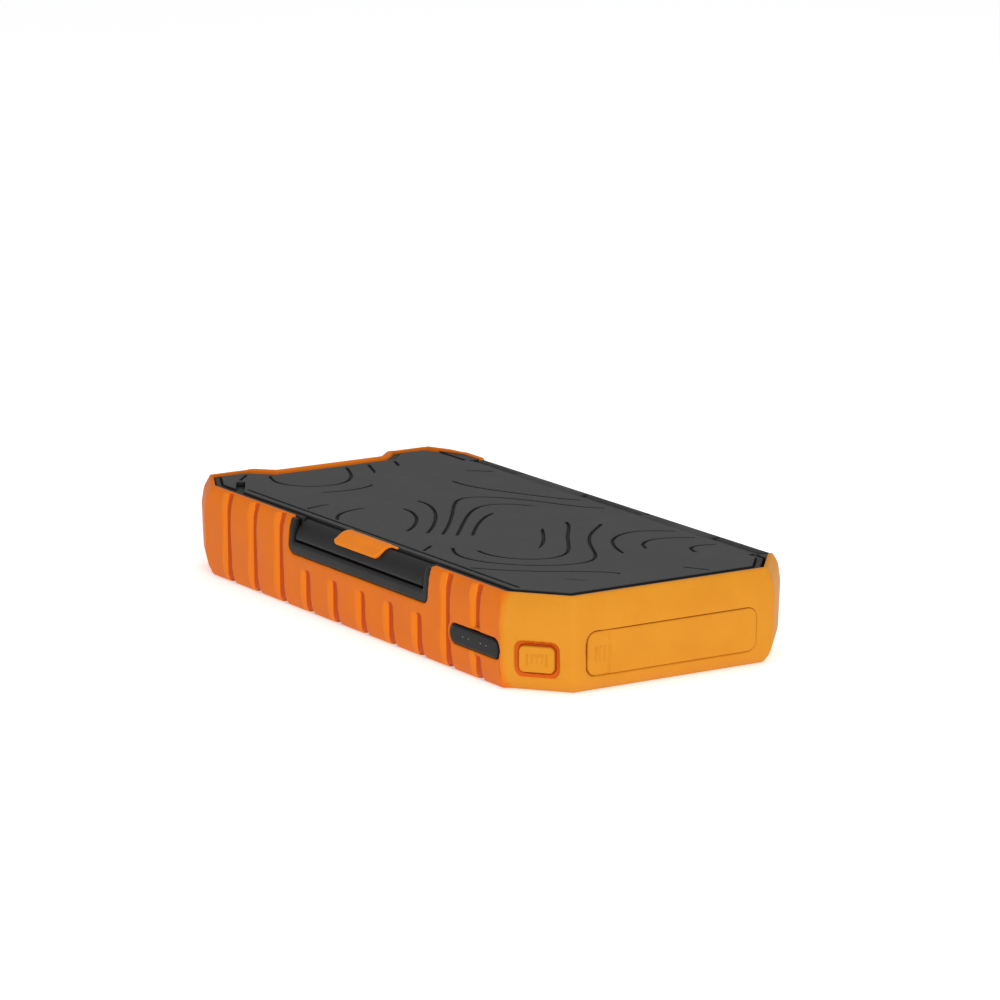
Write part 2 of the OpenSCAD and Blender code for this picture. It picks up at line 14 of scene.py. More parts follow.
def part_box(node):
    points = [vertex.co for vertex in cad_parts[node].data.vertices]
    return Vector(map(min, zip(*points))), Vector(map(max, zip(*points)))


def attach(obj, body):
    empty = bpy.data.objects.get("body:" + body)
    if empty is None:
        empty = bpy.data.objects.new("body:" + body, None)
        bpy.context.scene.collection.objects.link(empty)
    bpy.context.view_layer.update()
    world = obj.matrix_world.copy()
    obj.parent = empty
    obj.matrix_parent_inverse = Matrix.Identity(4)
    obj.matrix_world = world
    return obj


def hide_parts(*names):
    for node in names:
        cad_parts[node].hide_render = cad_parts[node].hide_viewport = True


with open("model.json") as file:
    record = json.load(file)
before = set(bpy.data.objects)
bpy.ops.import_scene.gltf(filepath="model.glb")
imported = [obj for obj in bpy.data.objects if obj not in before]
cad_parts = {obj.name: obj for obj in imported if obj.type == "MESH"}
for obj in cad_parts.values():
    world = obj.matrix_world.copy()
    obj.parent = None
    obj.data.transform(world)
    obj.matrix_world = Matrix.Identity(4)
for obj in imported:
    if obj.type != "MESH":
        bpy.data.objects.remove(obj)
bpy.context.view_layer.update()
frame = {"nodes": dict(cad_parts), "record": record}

MM = 0.001
COARSE = 1.0

# ---- sizes, in millimetres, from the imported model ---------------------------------


def span(node):
    """Lowest and highest corner of a CAD node, in millimetres."""
    lo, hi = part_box(node)
    return [v / MM for v in lo], [v / MM for v in hi]


sleeve_lo, sleeve_hi = span("bumper")
HALF_L, HALF_W, TOP = sleeve_hi[0], sleeve_hi[1], sleeve_hi[2]
pad_lo, pad_hi = span("lid_pad")
PAD_Z0, PAD_Z1 = pad_lo[2], pad_hi[2]
lid_lo, lid_hi = span("lid_shell")
LID_TOP = PAD_Z1 - 0.5
LID_Z = LID_TOP - 3.1

NOSE, TAIL = (17.0, 14.2), (15.4, 7.5)
NOTCH_D, NOTCH_LO, NOTCH_HI = 7.0, -25.4, 25.9
NOTCH_MID = (NOTCH_LO + NOTCH_HI) / 2
WALL, FLOOR_Z, DECK_Z = 2.8, 1.2, LID_Z - 0.3
RIM_O, LID_O, PAD_O, PAD_GAP, FLANGE_O = 3.6, 3.9, 6.1, 0.4, 6.0
HINGE_Y, HINGE_Z, HINGE_LO, HINGE_HI = HALF_W - 3.5, LID_TOP - 2.4, -74.0, 82.0
KNUCKLE_R, PIN_R, RIM_TOP = 2.4, 0.8, LID_TOP + 0.4
LID_BACK = HINGE_Y - KNUCKLE_R - 0.5
LID_KNUCKLES = [(-49.5, -12.5), (20.5, 57.5)]
MAGNETS = [(-50, -38), (60, -38)]
WINDOW_X, WINDOW_W, WINDOW_Z, STRIP, LIP_Z = 5.0, 80.0, 17.0, 2.8, 21.0
SKIRT_R, SKIRT_T, SKIRT_Y, SKIRT_Z, SKIRT_L = 6.5, 2.1, -HALF_W + 7.5, LID_TOP - 6.5, 73.2
PITCH, GROOVES, FIRST = 15.9, 10, 69.6 - 9 * 15.9
SLOT_W, SLOT_D, SHOULDER, SHOULDER_D, GROOVE_TOP = 3.3, 1.8, 2.3, 0.85, 13.4
BUTTON_A = math.atan2(NOSE[1], NOSE[0])
BUTTON_C, BUTTON_Z = (HALF_L - NOSE[0] / 2, -HALF_W + NOSE[1] / 2), 9.8
PILL_X, PILL_Z, PILL_L, PILL_H = 70.0, 11.5, 26.7, 5.7
LEDS = [64.0, 67.1, 73.5, 76.5]
PORT_Z, COVER_T, COVER_LO, COVER_HI, COVER_H = 11.3, 1.6, -29.7, 28.6, 12.9
CREASE_Y = COVER_LO + 7.4
PANEL_Y, PANEL_L, PANEL_H = 1.5, 44.6, 10.6
LIGHT_Z, FLUTE = 12.0, 2.25
FEET, FOOT_R = [(-78, -36), (-78, 36), (79, -34.5), (79, 34.5)], 4.5
END_CAP = HALF_L - NOSE[0] - 0.2
RIB_SINK = 0.35

# Barrel shape of the sleeve: height, then the inset at the socket end, the sides and the light end
BARREL = np.array([
    [0, 3.1, 2, 3.1], [2.6, 1.1, 0.9, 1.1], [6, 0.3, 0.4, 0.3], [20, 0, 0, 0], [25, 0.6, 0.4, 0.9], [29, 2.3, 1.6, 3.2],
])

# ---- distance fields --------------------------------------------------------------


def leg(along, across, t):
    return along - t * (1 - (math.hypot(along, across) - along) / across)


def outline(t, notched=True):
    """The body outline moved inwards by t."""
    x, y = HALF_L - t, HALF_W - t
    nx, ny = leg(NOSE[0], NOSE[1], t), leg(NOSE[1], NOSE[0], t)
    tx, ty = leg(TAIL[0], TAIL[1], t), leg(TAIL[1], TAIL[0], t)
    lo, hi = NOTCH_LO - t * (math.sqrt(2) - 1), NOTCH_HI + t * (math.sqrt(2) - 1)
    notch = [(-x, hi), (-x + NOTCH_D, hi - NOTCH_D), (-x + NOTCH_D, lo + NOTCH_D), (-x, lo)]
    return (
        [(x - nx, -y), (x, -y + ny), (x, y - ny), (x - nx, y), (-x + tx, y), (-x, y - ty)]
        + (notch if notched else [])
        + [(-x, -y + ty), (-x + tx, -y)]
    )


def polygon(points, x, y):
    """Signed distance to a closed polygon, negative inside."""
    shape = np.broadcast(x, y).shape
    best = np.full(shape, 1e6, np.float32)
    inside = np.zeros(shape, bool)
    for (ax, ay), (bx, by) in zip(points, points[1:] + points[:1]):
        ex, ey = bx - ax, by - ay
        px, py = x - ax, y - ay
        t = np.clip((px * ex + py * ey) / (ex * ex + ey * ey), 0, 1)
        best = np.minimum(best, (px - ex * t) ** 2 + (py - ey * t) ** 2)
        if ey:
            inside ^= ((ay > y) != (by > y)) & (px < py * (ex / ey))
    return np.where(inside, -1, 1) * np.sqrt(best)


def plate(u, v, cu, cv, w, h, r):
    """Signed distance to a rounded rectangle."""
    a, b = np.abs(u - cu) - w / 2 + r, np.abs(v - cv) - h / 2 + r
    return np.hypot(np.maximum(a, 0), np.maximum(b, 0)) + np.minimum(np.maximum(a, b), 0) - r


def both(a, b, r=0.0):
    """Common part of two solids, with the edge between them rounded by r."""
    if not r:
        return np.maximum(a, b)
    return np.minimum(np.maximum(a, b), -r) + np.hypot(np.maximum(a + r, 0), np.maximum(b + r, 0))


def cut(a, b, r=0.0):
    return both(a, -b, r)


def join(a, b, r=0.0):
    return -both(-a, -b, r)


def between(v, lo, hi):
    return np.maximum(lo - v, v - hi)


def inset(z, column):
    """The barrel inset at height z, smoothed over about 3 mm."""
    fine = np.arange(-6, 36, 0.25)
    raw = np.interp(fine, BARREL[:, 0], BARREL[:, column])
    kernel = np.hanning(15)
    return np.interp(z, fine, np.convolve(raw, kernel / kernel.sum(), "same")).astype(np.float32)


CORNER = 2.6


def skin(x, y, z, ribbed=True):
    """Signed distance to the sleeve's barrel-shaped outside, without the notch."""
    flat = polygon(outline(CORNER, False), x, y) - CORNER
    gx, gy = np.gradient(flat[:, :, 0])
    size = np.hypot(gx, gy) + 1e-6
    nx, ny = (np.abs(gx) / size)[:, :, None], (np.abs(gy) / size)[:, :, None]
    d = flat + nx * np.where(x > 0, inset(z, 1), inset(z, 3)) + ny * inset(z, 2)
    if ribbed:
        side = np.clip((ny - 0.93) / 0.06, 0, 1) * np.clip((END_CAP - x) / 0.8, 0, 1)
        d = d + RIB_SINK * side
    return d


class Volume:
    """A block of distances on a grid, which becomes a mesh."""

    def __init__(self, lo, hi, step):
        self.lo, self.step = lo, step
        self.axes = [np.arange(a, b + step, step, dtype=np.float32) for a, b in zip(lo, hi)]
        x, y, z = self.axes
        self.x, self.y, self.z = x[:, None, None], y[None, :, None], z[None, None, :]
        self.d = None

    def edit(self, lo, hi, change):
        """Replaces the distances in a box by change(distances, x, y, z)."""
        part = tuple(
            slice(*np.searchsorted(axis, (a, b))) for axis, a, b in zip(self.axes, lo, hi)
        )
        x, y, z = self.x[part[0]], self.y[:, part[1]], self.z[:, :, part[2]]
        self.d[part] = change(self.d[part], x, y, z)

    def mesh(self, name, adaptivity=0.0):
        band = 3 * self.step
        data = np.clip(np.broadcast_to(self.d, [len(a) for a in self.axes]), -band, band)
        grid = openvdb.FloatGrid(band)
        grid.copyFromArray(np.ascontiguousarray(data, dtype=np.float32))
        points, triangles, quads = grid.convertToPolygons(0.0, adaptivity)
        points = (points * self.step + np.array(self.lo)) * MM
        faces = np.concatenate([triangles[:, ::-1].ravel(), quads[:, ::-1].ravel()])
        sizes = [3] * len(triangles) + [4] * len(quads)
        made = bpy.data.meshes.new(name)
        made.vertices.add(len(points))
        made.vertices.foreach_set("co", points.astype(np.float32).ravel())
        made.loops.add(len(faces))
        made.loops.foreach_set("vertex_index", faces.astype(np.int32))
        made.polygons.add(len(sizes))
        made.polygons.foreach_set("loop_start", np.cumsum([0] + sizes[:-1]).astype(np.int32))
        made.polygons.foreach_set("use_smooth", np.ones(len(sizes), bool))
        made.update()
        made.validate()
        piece = bpy.data.objects.new(name, made)
        bpy.context.scene.collection.objects.link(piece)
        return piece


# ---- materials --------------------------------------------------------------------


def srgb(r, g, b):
    """A display colour from 0 to 255 as scene-linear values."""
    values = [v / 255 for v in (r, g, b)]
    return [v / 12.92 if v <= 0.04045 else ((v + 0.055) / 1.055) ** 2.4 for v in values] + [1]


class Finish:
    """A Principled material whose colour, roughness and bump come from noise."""

    def __init__(self, name, base, dark, rough, metal=0.0, mottle=60, grain=1500, bump=0.1, depth=0.0001):
        self.material = bpy.data.materials.new(name)
        self.material.use_nodes = True
        self.material.diffuse_color = base
        tree = self.material.node_tree
        self.nodes, self.links = tree.nodes, tree.links
        self.shader = self.nodes["Principled BSDF"]
        self.shader.inputs["Metallic"].default_value = metal
        self.coords = self.add("ShaderNodeTexCoord").outputs["Object"]
        broad = self.noise(mottle, 4, 0.6)
        fine = self.noise(grain, 3, 0.55)
        self.colour = self.mix(self.ramp(broad, 0.35, 0.68), dark, base)
        self.rough = self.map(broad, rough[0], rough[1])
        self.bump(fine, bump, depth)
        self.join(self.colour, "Base Color")
        self.join(self.rough, "Roughness")

    def add(self, kind, **values):
        node = self.nodes.new(kind)
        for key, value in values.items():
            setattr(node, key, value)
        return node

    def join(self, output, socket):
        self.links.new(output, self.shader.inputs[socket])

    def noise(self, scale, detail, roughness, stretch=None):
        node = self.add("ShaderNodeTexNoise")
        node.inputs["Scale"].default_value = scale
        node.inputs["Detail"].default_value = detail
        node.inputs["Roughness"].default_value = roughness
        source = self.coords
        if stretch:
            mapping = self.add("ShaderNodeMapping")
            mapping.inputs["Scale"].default_value = stretch
            self.links.new(source, mapping.inputs["Vector"])
            source = mapping.outputs["Vector"]
        self.links.new(source, node.inputs["Vector"])
        return node.outputs["Fac"]

    def ramp(self, value, lo, hi):
        return self.map(value, 0.0, 1.0, lo, hi)

    def map(self, value, lo, hi, from_lo=0.3, from_hi=0.7):
        node = self.add("ShaderNodeMapRange")
        node.inputs["From Min"].default_value = from_lo
        node.inputs["From Max"].default_value = from_hi
        node.inputs["To Min"].default_value = lo
        node.inputs["To Max"].default_value = hi
        self.links.new(value, node.inputs["Value"])
        return node.outputs["Result"]

    def mix(self, factor, a, b):
        node = self.add("ShaderNodeMix", data_type="RGBA")
        self.links.new(factor, node.inputs["Factor"])
        for value, socket in ((a, node.inputs[6]), (b, node.inputs[7])):
            if isinstance(value, bpy.types.NodeSocket):
                self.links.new(value, socket)
            else:
                socket.default_value = value
        return node.outputs[2]

    def maths(self, operation, a, b):
        node = self.add("ShaderNodeMath", operation=operation)
        for value, socket in ((a, node.inputs[0]), (b, node.inputs[1])):
            if isinstance(value, bpy.types.NodeSocket):
                self.links.new(value, socket)
            else:
                socket.default_value = value
        return node.outputs[0]

    def bump(self, height, strength, depth):
        node = self.add("ShaderNodeBump")
        node.inputs["Strength"].default_value = strength
        node.inputs["Distance"].default_value = depth
        self.links.new(height, node.inputs["Height"])
        self.join(node.outputs["Normal"], "Normal")

    def wear(self, colour, lo=0.53, hi=0.62, share=0.4):
        """Lightens worn edges."""
        edges = self.add("ShaderNodeNewGeometry").outputs["Pointiness"]
        patchy = self.maths("MULTIPLY", self.map(edges, 0, share, lo, hi), self.ramp(self.noise(300, 3, 0.6), 0.3, 0.6))
        self.colour = self.mix(patchy, self.colour, colour)
        self.join(self.colour, "Base Color")
        return self

    def set(self, **values):
        for key, value in values.items():
            self.shader.inputs[key.replace("_", " ")].default_value = value
        return self


def rubber_orange():
    finish = Finish(
        "sleeve_rubber", srgb(217, 110, 3), srgb(209, 103, 3), (0.5, 0.62), grain=2600, bump=0.12
    )
    split = finish.add("ShaderNodeSeparateXYZ")
    finish.links.new(finish.coords, split.inputs[0])
    x, y, z = (split.outputs[axis] for axis in "XYZ")

    def band(value, lo, hi, edge=0.3):
        """1 between lo and hi, in millimetres, and 0 outside."""
        rise = finish.map(value, 0, 1, (lo - edge) * MM, lo * MM)
        return finish.maths("MULTIPLY", rise, finish.map(value, 1, 0, hi * MM, (hi + edge) * MM))

    def product(*factors):
        total = factors[0]
        for factor in factors[1:]:
            total = finish.maths("MULTIPLY", total, factor)
        return total

    # the socket end is a lighter orange than the ribbed sides
    nose = finish.map(x, 0, 1, (END_CAP - 0.5) * MM, (END_CAP + 1.5) * MM)
    lighter = finish.mix(finish.ramp(finish.noise(60, 4, 0.6), 0.35, 0.68), srgb(203, 130, 28), srgb(207, 136, 32))
    finish.colour = finish.mix(nose, finish.colour, lighter)
    # painted shade: the slots of the grip grooves and the ring round the button are painted darker, where shadow falls
    # in them
    depth = finish.maths("SUBTRACT", HALF_W * MM, finish.maths("ABSOLUTE", y, 0.0))
    steps = finish.map(x, 0, GROOVES + 1, (FIRST - PITCH) * MM, (FIRST + GROOVES * PITCH) * MM)
    past_slot = finish.maths("MULTIPLY", finish.maths("FRACT", steps, 0.0), PITCH * MM)
    grooved = product(band(x, FIRST - 3, -FIRST + 4), band(z, -1, RIM_TOP - 0.6))
    slot_shade = product(
        grooved, band(past_slot, 0, SLOT_W, 0.05), band(depth, RIB_SINK + SHOULDER_D + 0.1, 4, 0.1)
    )
    across = finish.maths("MULTIPLY", finish.maths("SUBTRACT", x, BUTTON_C[0] * MM), math.sin(BUTTON_A))
    along = finish.maths("MULTIPLY", finish.maths("SUBTRACT", y, BUTTON_C[1] * MM), math.cos(BUTTON_A))
    outward = finish.maths("SUBTRACT", across, along)
    # ring is the mask of the painted shade in the groove round the button
    ring = product(
        band(outward, -3, -1.05, 0.15), band(z, BUTTON_Z - 5.3, BUTTON_Z + 5.3, 0.1), band(x, 83, 99)
    )
    # painted highlight: the shoulder in front of each slot, which faces the light, is painted a little lighter
    shoulder_highlight = product(
        grooved, band(past_slot, PITCH - SHOULDER, PITCH), band(depth, RIB_SINK + 0.4, 3, 0.2)
    )
    # the painted highlight colour of the shoulders
    finish.colour = finish.mix(shoulder_highlight, finish.colour, srgb(223, 118, 12))
    # painted shade in the slots of the grip grooves
    finish.colour = finish.mix(slot_shade, finish.colour, srgb(190, 72, 3))
    # painted shade in the ring round the button
    finish.colour = finish.mix(ring, finish.colour, srgb(202, 88, 5))
    return finish.wear(srgb(238, 160, 92)).set(Specular_IOR_Level=0.15).material


def pad_grey():
    finish = Finish("pad_rubber", srgb(62, 62, 62), srgb(57, 57, 57), (0.62, 0.78), grain=3200, bump=0.16)
    # painted shade: everything below the top face, in the contour lines and round the edge, is painted darker
    split = finish.add("ShaderNodeSeparateXYZ")
    finish.links.new(finish.coords, split.inputs[0])
    height = finish.map(split.outputs["Z"], 0, 1, (PAD_Z1 - 0.2) * MM, (PAD_Z1 - 0.05) * MM)
    # mixes in the near-black painted shade below the top face
    finish.colour = finish.mix(height, srgb(18, 18, 18), finish.colour)
    finish.join(finish.colour, "Base Color")
    return finish.set(Specular_IOR_Level=0.25).material


FINISHES = {
    "sleeve_rubber": rubber_orange,
    "black_plastic": lambda: Finish(
        "black_plastic", srgb(28, 28, 29), srgb(23, 23, 24), (0.45, 0.58), grain=2200, bump=0.12
    )
    .wear(srgb(60, 60, 62))
    .set(Specular_IOR_Level=0.2)
    .material,
    "pad_rubber": pad_grey,
    "tab_rubber": lambda: Finish(
        "tab_rubber", srgb(229, 127, 16), srgb(222, 120, 13), (0.5, 0.62), grain=2600, bump=0.12
    ).set(Specular_IOR_Level=0.15).material,
    "black_rubber": lambda: Finish("black_rubber", srgb(36, 36, 37), srgb(28, 28, 29), (0.6, 0.8), grain=1800).material,
    "smoked_lens": lambda: Finish("smoked_lens", srgb(17, 18, 19), srgb(13, 14, 15), (0.16, 0.3), grain=3000, bump=0.03)
    .set(Specular_IOR_Level=0.12)
    .material,
    "clear_lens": lambda: Finish("clear_lens", srgb(236, 240, 243), srgb(228, 233, 238), (0.06, 0.14), grain=700, bump=0.05)
    .set(Transmission_Weight=0.9, IOR=1.49)
    .material,
    "reflector": lambda: Finish("reflector", srgb(214, 216, 220), srgb(196, 198, 203), (0.12, 0.24), 1.0, grain=900, bump=0.03).material,
    "steel": lambda: Finish("steel", srgb(176, 178, 182), srgb(150, 152, 156), (0.25, 0.42), 1.0, grain=1600, bump=0.06).material,
    "nickel": lambda: Finish("nickel", srgb(198, 196, 190), srgb(174, 172, 166), (0.2, 0.36), 1.0, grain=1300, bump=0.05).material,
    "brass": lambda: Finish("brass", srgb(226, 184, 96), srgb(198, 150, 70), (0.2, 0.36), 1.0, grain=1300, bump=0.05).material,
    "blue_plastic": lambda: Finish("blue_plastic", srgb(34, 74, 168), srgb(28, 62, 146), (0.35, 0.5)).material,
    "white_plastic": lambda: Finish("white_plastic", srgb(232, 232, 228), srgb(220, 220, 214), (0.35, 0.5)).material,
    "circuit_board": lambda: Finish("circuit_board", srgb(22, 88, 52), srgb(16, 70, 40), (0.3, 0.45), mottle=400, grain=600).material,
    "cell_foil": lambda: Finish("cell_foil", srgb(178, 182, 188), srgb(150, 154, 160), (0.3, 0.5), 0.9, mottle=40, grain=260, bump=0.3).material,
    "foam": lambda: Finish("foam", srgb(70, 70, 72), srgb(52, 52, 54), (0.85, 0.95), mottle=500, grain=1400, bump=0.6, depth=0.0003).material,
    "red_insulation": lambda: Finish("red_insulation", srgb(188, 34, 30), srgb(160, 26, 24), (0.4, 0.55)).material,
    "black_insulation": lambda: Finish("black_insulation", srgb(34, 34, 36), srgb(24, 24, 26), (0.4, 0.55)).material,
    "chip_black": lambda: Finish("chip_black", srgb(38, 38, 40), srgb(28, 28, 30), (0.5, 0.65), grain=3500, bump=0.2).material,
    "heat_sink": lambda: Finish("heat_sink", srgb(186, 188, 192), srgb(160, 162, 166), (0.3, 0.45), 1.0, grain=1800).material,
    "led_yellow": lambda: Finish("led_yellow", srgb(238, 208, 92), srgb(226, 186, 60), (0.3, 0.45)).material,
}
made_finishes = {}


def finish(slot):
    if slot not in made_finishes:
        made_finishes[slot] = FINISHES[slot]()
    return made_finishes[slot]


def place(piece, slot, body, *nodes):
    """Gives a new piece its material and its body, and hides the CAD nodes that it stands for."""
    piece.data.materials.append(finish(slot))
    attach(piece, body)
    if nodes:
        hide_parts(*nodes)
    return piece


for part in frame["record"]["subparts"]:
    shown = frame["nodes"][part["node"]]
    shown.data.materials.clear()
    shown.data.materials.append(finish(part["material_slot"]))

# ---- sleeve -----------------------------------------------------------------------


def groove(d, x, y, z):
    """Grip grooves along a side: a sloping shoulder that runs into a deep slot."""
    count = np.clip(np.round((x - FIRST) / PITCH), 0, GROOVES - 1)
    u = x - FIRST - count * PITCH
    section = [
        (-SHOULDER - 1.2, -4), (-SHOULDER, RIB_SINK), (0, SHOULDER_D + RIB_SINK),
        (0, SLOT_D), (SLOT_W, SLOT_D), (SLOT_W, -4),
    ]
    # near the rim, where the sleeve leans in, the groove follows it
    sunk = HALF_W - np.abs(y) - 0.9 * np.clip((z - 24) / 4, 0, 1)
    g = np.stack([polygon(section, u[..., 0], layer) for layer in np.moveaxis(sunk, 2, 0)], 2)
    under = (np.abs(FIRST + count * PITCH - WINDOW_X + 2) < WINDOW_W / 2) & (y < 0)
    d = cut(d, np.where(under, both(g, z - GROOVE_TOP, 0.8), g), 0.3)
    flange = np.maximum(np.abs(u - SLOT_W / 2) - SLOT_W / 2, z - FLOOR_Z + 0.1)
    return cut(d, np.maximum(flange, HALF_W - FLANGE_O + 1.5 - np.abs(y)), 0.3)


def button_frame(x, y):
    """Distance along the button's face, and outwards from it."""
    px, py = x - BUTTON_C[0], y - BUTTON_C[1]
    ca, sa = math.cos(BUTTON_A), math.sin(BUTTON_A)
    return px * ca + py * sa, px * sa - py * ca


def button_ring(d, x, y, z):
    u, n = button_frame(x, y)
    d = cut(d, both(plate(u, z, 0, BUTTON_Z, 13.3, 10.4, 2.4), -1.3 - n, 0.2), 0.3)
    d = cut(d, plate(u, z, 0, BUTTON_Z, 11, 8.1, 1.8))
    return cut(d, both(plate(u, z, 0, BUTTON_Z, 13.4, 10.5, 2.2), n + 1.8))


def port_pocket(d, x, y, z):
    lo = COVER_LO - 0.6
    pocket = plate(y, z, (lo + COVER_HI) / 2, PORT_Z, COVER_HI - lo, COVER_H + 0.4, 3.2)
    d = cut(d, both(pocket, HALF_L - COVER_T - 0.1 - x), 0.15)
    finger = plate(y, z, COVER_LO + 3, PORT_Z + 2, 7.4, COVER_H - 3.4, 3.4)
    d = cut(d, both(finger, HALF_L - COVER_T - 0.1 - x), 0.15)
    return cut(d, plate(y, z, PANEL_Y, PORT_Z, PANEL_L + 0.4, PANEL_H + 0.4, 1.8))


def pill_slot(d, x, y, z):
    ring = both(plate(x, z, PILL_X, PILL_Z, PILL_L + 2.6, PILL_H + 2.6, PILL_H / 2 + 1.3), skin(x, y, z) + 0.12)
    d = join(d, ring, 0.25)
    return cut(d, plate(x, z, PILL_X, PILL_Z, PILL_L + 0.6, PILL_H + 0.6, PILL_H / 2 + 0.3), 0.4)


def make_sleeve():
    v = Volume((-102, -50, -1), (102, 50, 30), 0.4 * COARSE)
    x, y, z = v.x, v.y, v.z
    # the rim sweeps up to its full height at the light end
    top = RIM_TOP + (TOP - RIM_TOP) * np.clip((17 - HALF_L - x) / 6, 0, 1)
    d = both(skin(x, y, z), z - top, 0.6)
    d = both(d, -z, 0.9)
    notch = [
        (-HALF_L - 2, NOTCH_LO - 2), (-HALF_L + NOTCH_D, NOTCH_LO + NOTCH_D),
        (-HALF_L + NOTCH_D, NOTCH_HI - NOTCH_D), (-HALF_L - 2, NOTCH_HI + 2),
    ]
    d = cut(d, polygon(notch, x, y) - 0.4 * inset(z, 3), 0.9)
    d = cut(d, np.maximum(polygon(outline(WALL), x, y), between(z, FLOOR_Z, DECK_Z + 0.2)))
    d = cut(d, np.maximum(polygon(outline(FLANGE_O), x, y), z - FLOOR_Z - 0.01), 0.3)
    v.d = cut(d, np.maximum(polygon(outline(RIM_O + 0.6), x, y) - 0.6, DECK_Z - z), 0.25)
    v.edit((-102, -50, -1), (102, -43, 30), groove)
    v.edit((-102, 43, -1), (102, 50, 30), groove)
    v.edit((-40, -50, 14), (50, -40, 30), lambda d, x, y, z: cut(
        d, plate(x, z, WINDOW_X, WINDOW_Z + 20, WINDOW_W, 40, 3), 0.45))
    v.edit((-80, 40, 17), (88, 50, 30), lambda d, x, y, z: cut(
        d, np.maximum(plate(x, z, (HINGE_LO + HINGE_HI + 0.4) / 2, 40, HINGE_HI - HINGE_LO + 2.4, 40, 0.6), 44.4 - y), 0.4))
    v.edit((54, -50, 5), (87, -44, 18), pill_slot)
    v.edit((82, -50, 1), (102, -32, 20), button_ring)
    v.edit((96, -34, 2), (102, 32, 21), port_pocket)
    v.edit((-98, -18, 3), (-90, 15, 21), lambda d, x, y, z: cut(
        d, plate(y, z, NOTCH_MID, LIGHT_Z, 27.6, 11.6, 3.3), 0.5))
    return v.mesh("sleeve", 0.02)


place(make_sleeve(), "sleeve_rubber", "housing", "bumper")


def make_cover():
    v = Volume((98, -31, 3), (102, 30, 20), 0.25 * COARSE)
    x, y, z = v.x, v.y, v.z
    depth = -skin(x, y, z)
    d = both(plate(y, z, (COVER_LO + COVER_HI) / 2, PORT_Z, COVER_HI - COVER_LO, COVER_H, 3), 0.02 - depth, 0.3)
    d = both(d, HALF_L - COVER_T - x)
    # the finger end is a little lower, beyond a crease
    d = cut(d, both(y - CREASE_Y, depth - 0.3), 0.1)
    d = cut(d, np.hypot(y - CREASE_Y, depth) - 0.5, 0.1)
    for i in (-1, 0, 1):
        d = cut(d, both(plate(y, z, COVER_LO + 4.45 + 1.3 * i, PORT_Z, 0.5, 4.4, 0.25), depth - 0.7), 0.1)
    ring = np.maximum(plate(y, z, 1.2, PORT_Z, 41, 9.4, 1.6), -plate(y, z, 1.2, PORT_Z, 39, 7.4, 0.8))
    v.d = np.minimum(d, np.maximum(ring, between(x, HALF_L - COVER_T - 0.65, HALF_L - COVER_T + 0.1)))
    return v.mesh("cover_flap", 0.02)


place(make_cover(), "sleeve_rubber", "port_cover", "port_cover")


def make_button():
    v = Volume((82, -52, 4), (103, -32, 16), 0.25 * COARSE)
    x, y, z = v.x, v.y, v.z
    u, n = button_frame(x, y)
    d = both(plate(u, z, 0, BUTTON_Z, 10.5, 7.6, 1.6), n - 0.05, 0.5)
    d = np.maximum(d, -2.5 - n)
    t = z - BUTTON_Z
    marks = np.minimum(plate(u, t, 0, 1.3, 4.4, 0.5, 0.2), plate(np.abs(u), t, 2.9, 0, 0.5, 3.6, 0.2))
    for spot in (-1.5, 0, 1.5):
        marks = np.minimum(marks, plate(u, t, spot, 0, 0.5, 1.7, 0.2))
    d = cut(d, np.maximum(marks, -0.25 - n), 0.1)
    d = np.minimum(d, np.maximum(plate(u, z, 0, BUTTON_Z, 12.4, 9.5, 2), between(n, -2.55, -1.9)))
    v.d = np.minimum(d, np.maximum(np.hypot(u, t) - 1.5, between(n, -5.2, -2.5)))
    return v.mesh("button", 0.02)


place(make_button(), "sleeve_rubber", "power_button", "button_cap")


def make_foot(number, spot):
    v = Volume((spot[0] - 5, spot[1] - 5, -0.6), (spot[0] + 5, spot[1] + 5, 1.8), 0.2 * COARSE)
    r = np.hypot(v.x - spot[0], v.y - spot[1])
    d = both(both(r - FOOT_R, -v.z, 0.5), v.z - FLOOR_Z)
    # a moulded ring in the underside
    v.d = cut(d, np.hypot(r - 2.6, v.z) - 0.4, 0.1)
    return v.mesh("foot_%d" % number, 0.02)


for number, spot in enumerate(FEET):
    place(make_foot(number + 1, spot), "black_rubber", "housing", "rubber_feet")


def make_lens():
    v = Volume((-HALF_L + NOTCH_D - 0.5, -15, 5), (-HALF_L + NOTCH_D + 3.5, 15, 19), 0.25 * COARSE)
    x, y, z = v.x, v.y, v.z
    face = -HALF_L + NOTCH_D
    # upright flutes across the front
    front = face + 0.45 - 0.25 * np.cos((y - NOTCH_MID) * (2 * math.pi / FLUTE))
    d = both(plate(y, z, NOTCH_MID, LIGHT_Z, 27, 11, 3), front - x, 0.3)
    v.d = np.maximum(d, x - face - WALL)
    return v.mesh("light_window", 0.02)


place(make_lens(), "clear_lens", "housing", "light_lens")

# ---- lid --------------------------------------------------------------------------


def lid_area(x, y, t, r=0.0):
    """Plan of the lid, moved inwards by t."""
    d = np.maximum(polygon(outline(t + r), x, y), polygon(outline(t + r), x, y + 0.9)) - r
    back = LID_BACK - (t - LID_O)
    d = np.maximum(d, y - back)
    d = np.maximum(d, np.minimum(y - back + 2, HINGE_LO - 0.5 - x))
    return np.maximum(d, np.minimum(y - back + 2, x - HINGE_HI - 0.5))


# A straight line near the pad's front edge, and the turn of the slot beside it
CREASE, CREASE_MID, CREASE_L = HALF_W - 8.6, 4.0, 154.0
SLOT_TURN = math.radians(-31)
# Engraved lines: half their width, their depth, and the rise from one contour line to the next
LINE_R, LINE_D, LEVEL = 0.48, 0.8, 0.8


def hills(x, y):
    """Height of an imaginary landscape, made of a few crossing waves."""
    along = x + 9 * np.sin(y / 13 + 0.8)
    across = y + 8 * np.sin(x / 19 - 0.4)
    return 0.24 + np.sin(along / 17) + np.cos(across / 12) + 0.6 * np.sin((along + across) / 26)


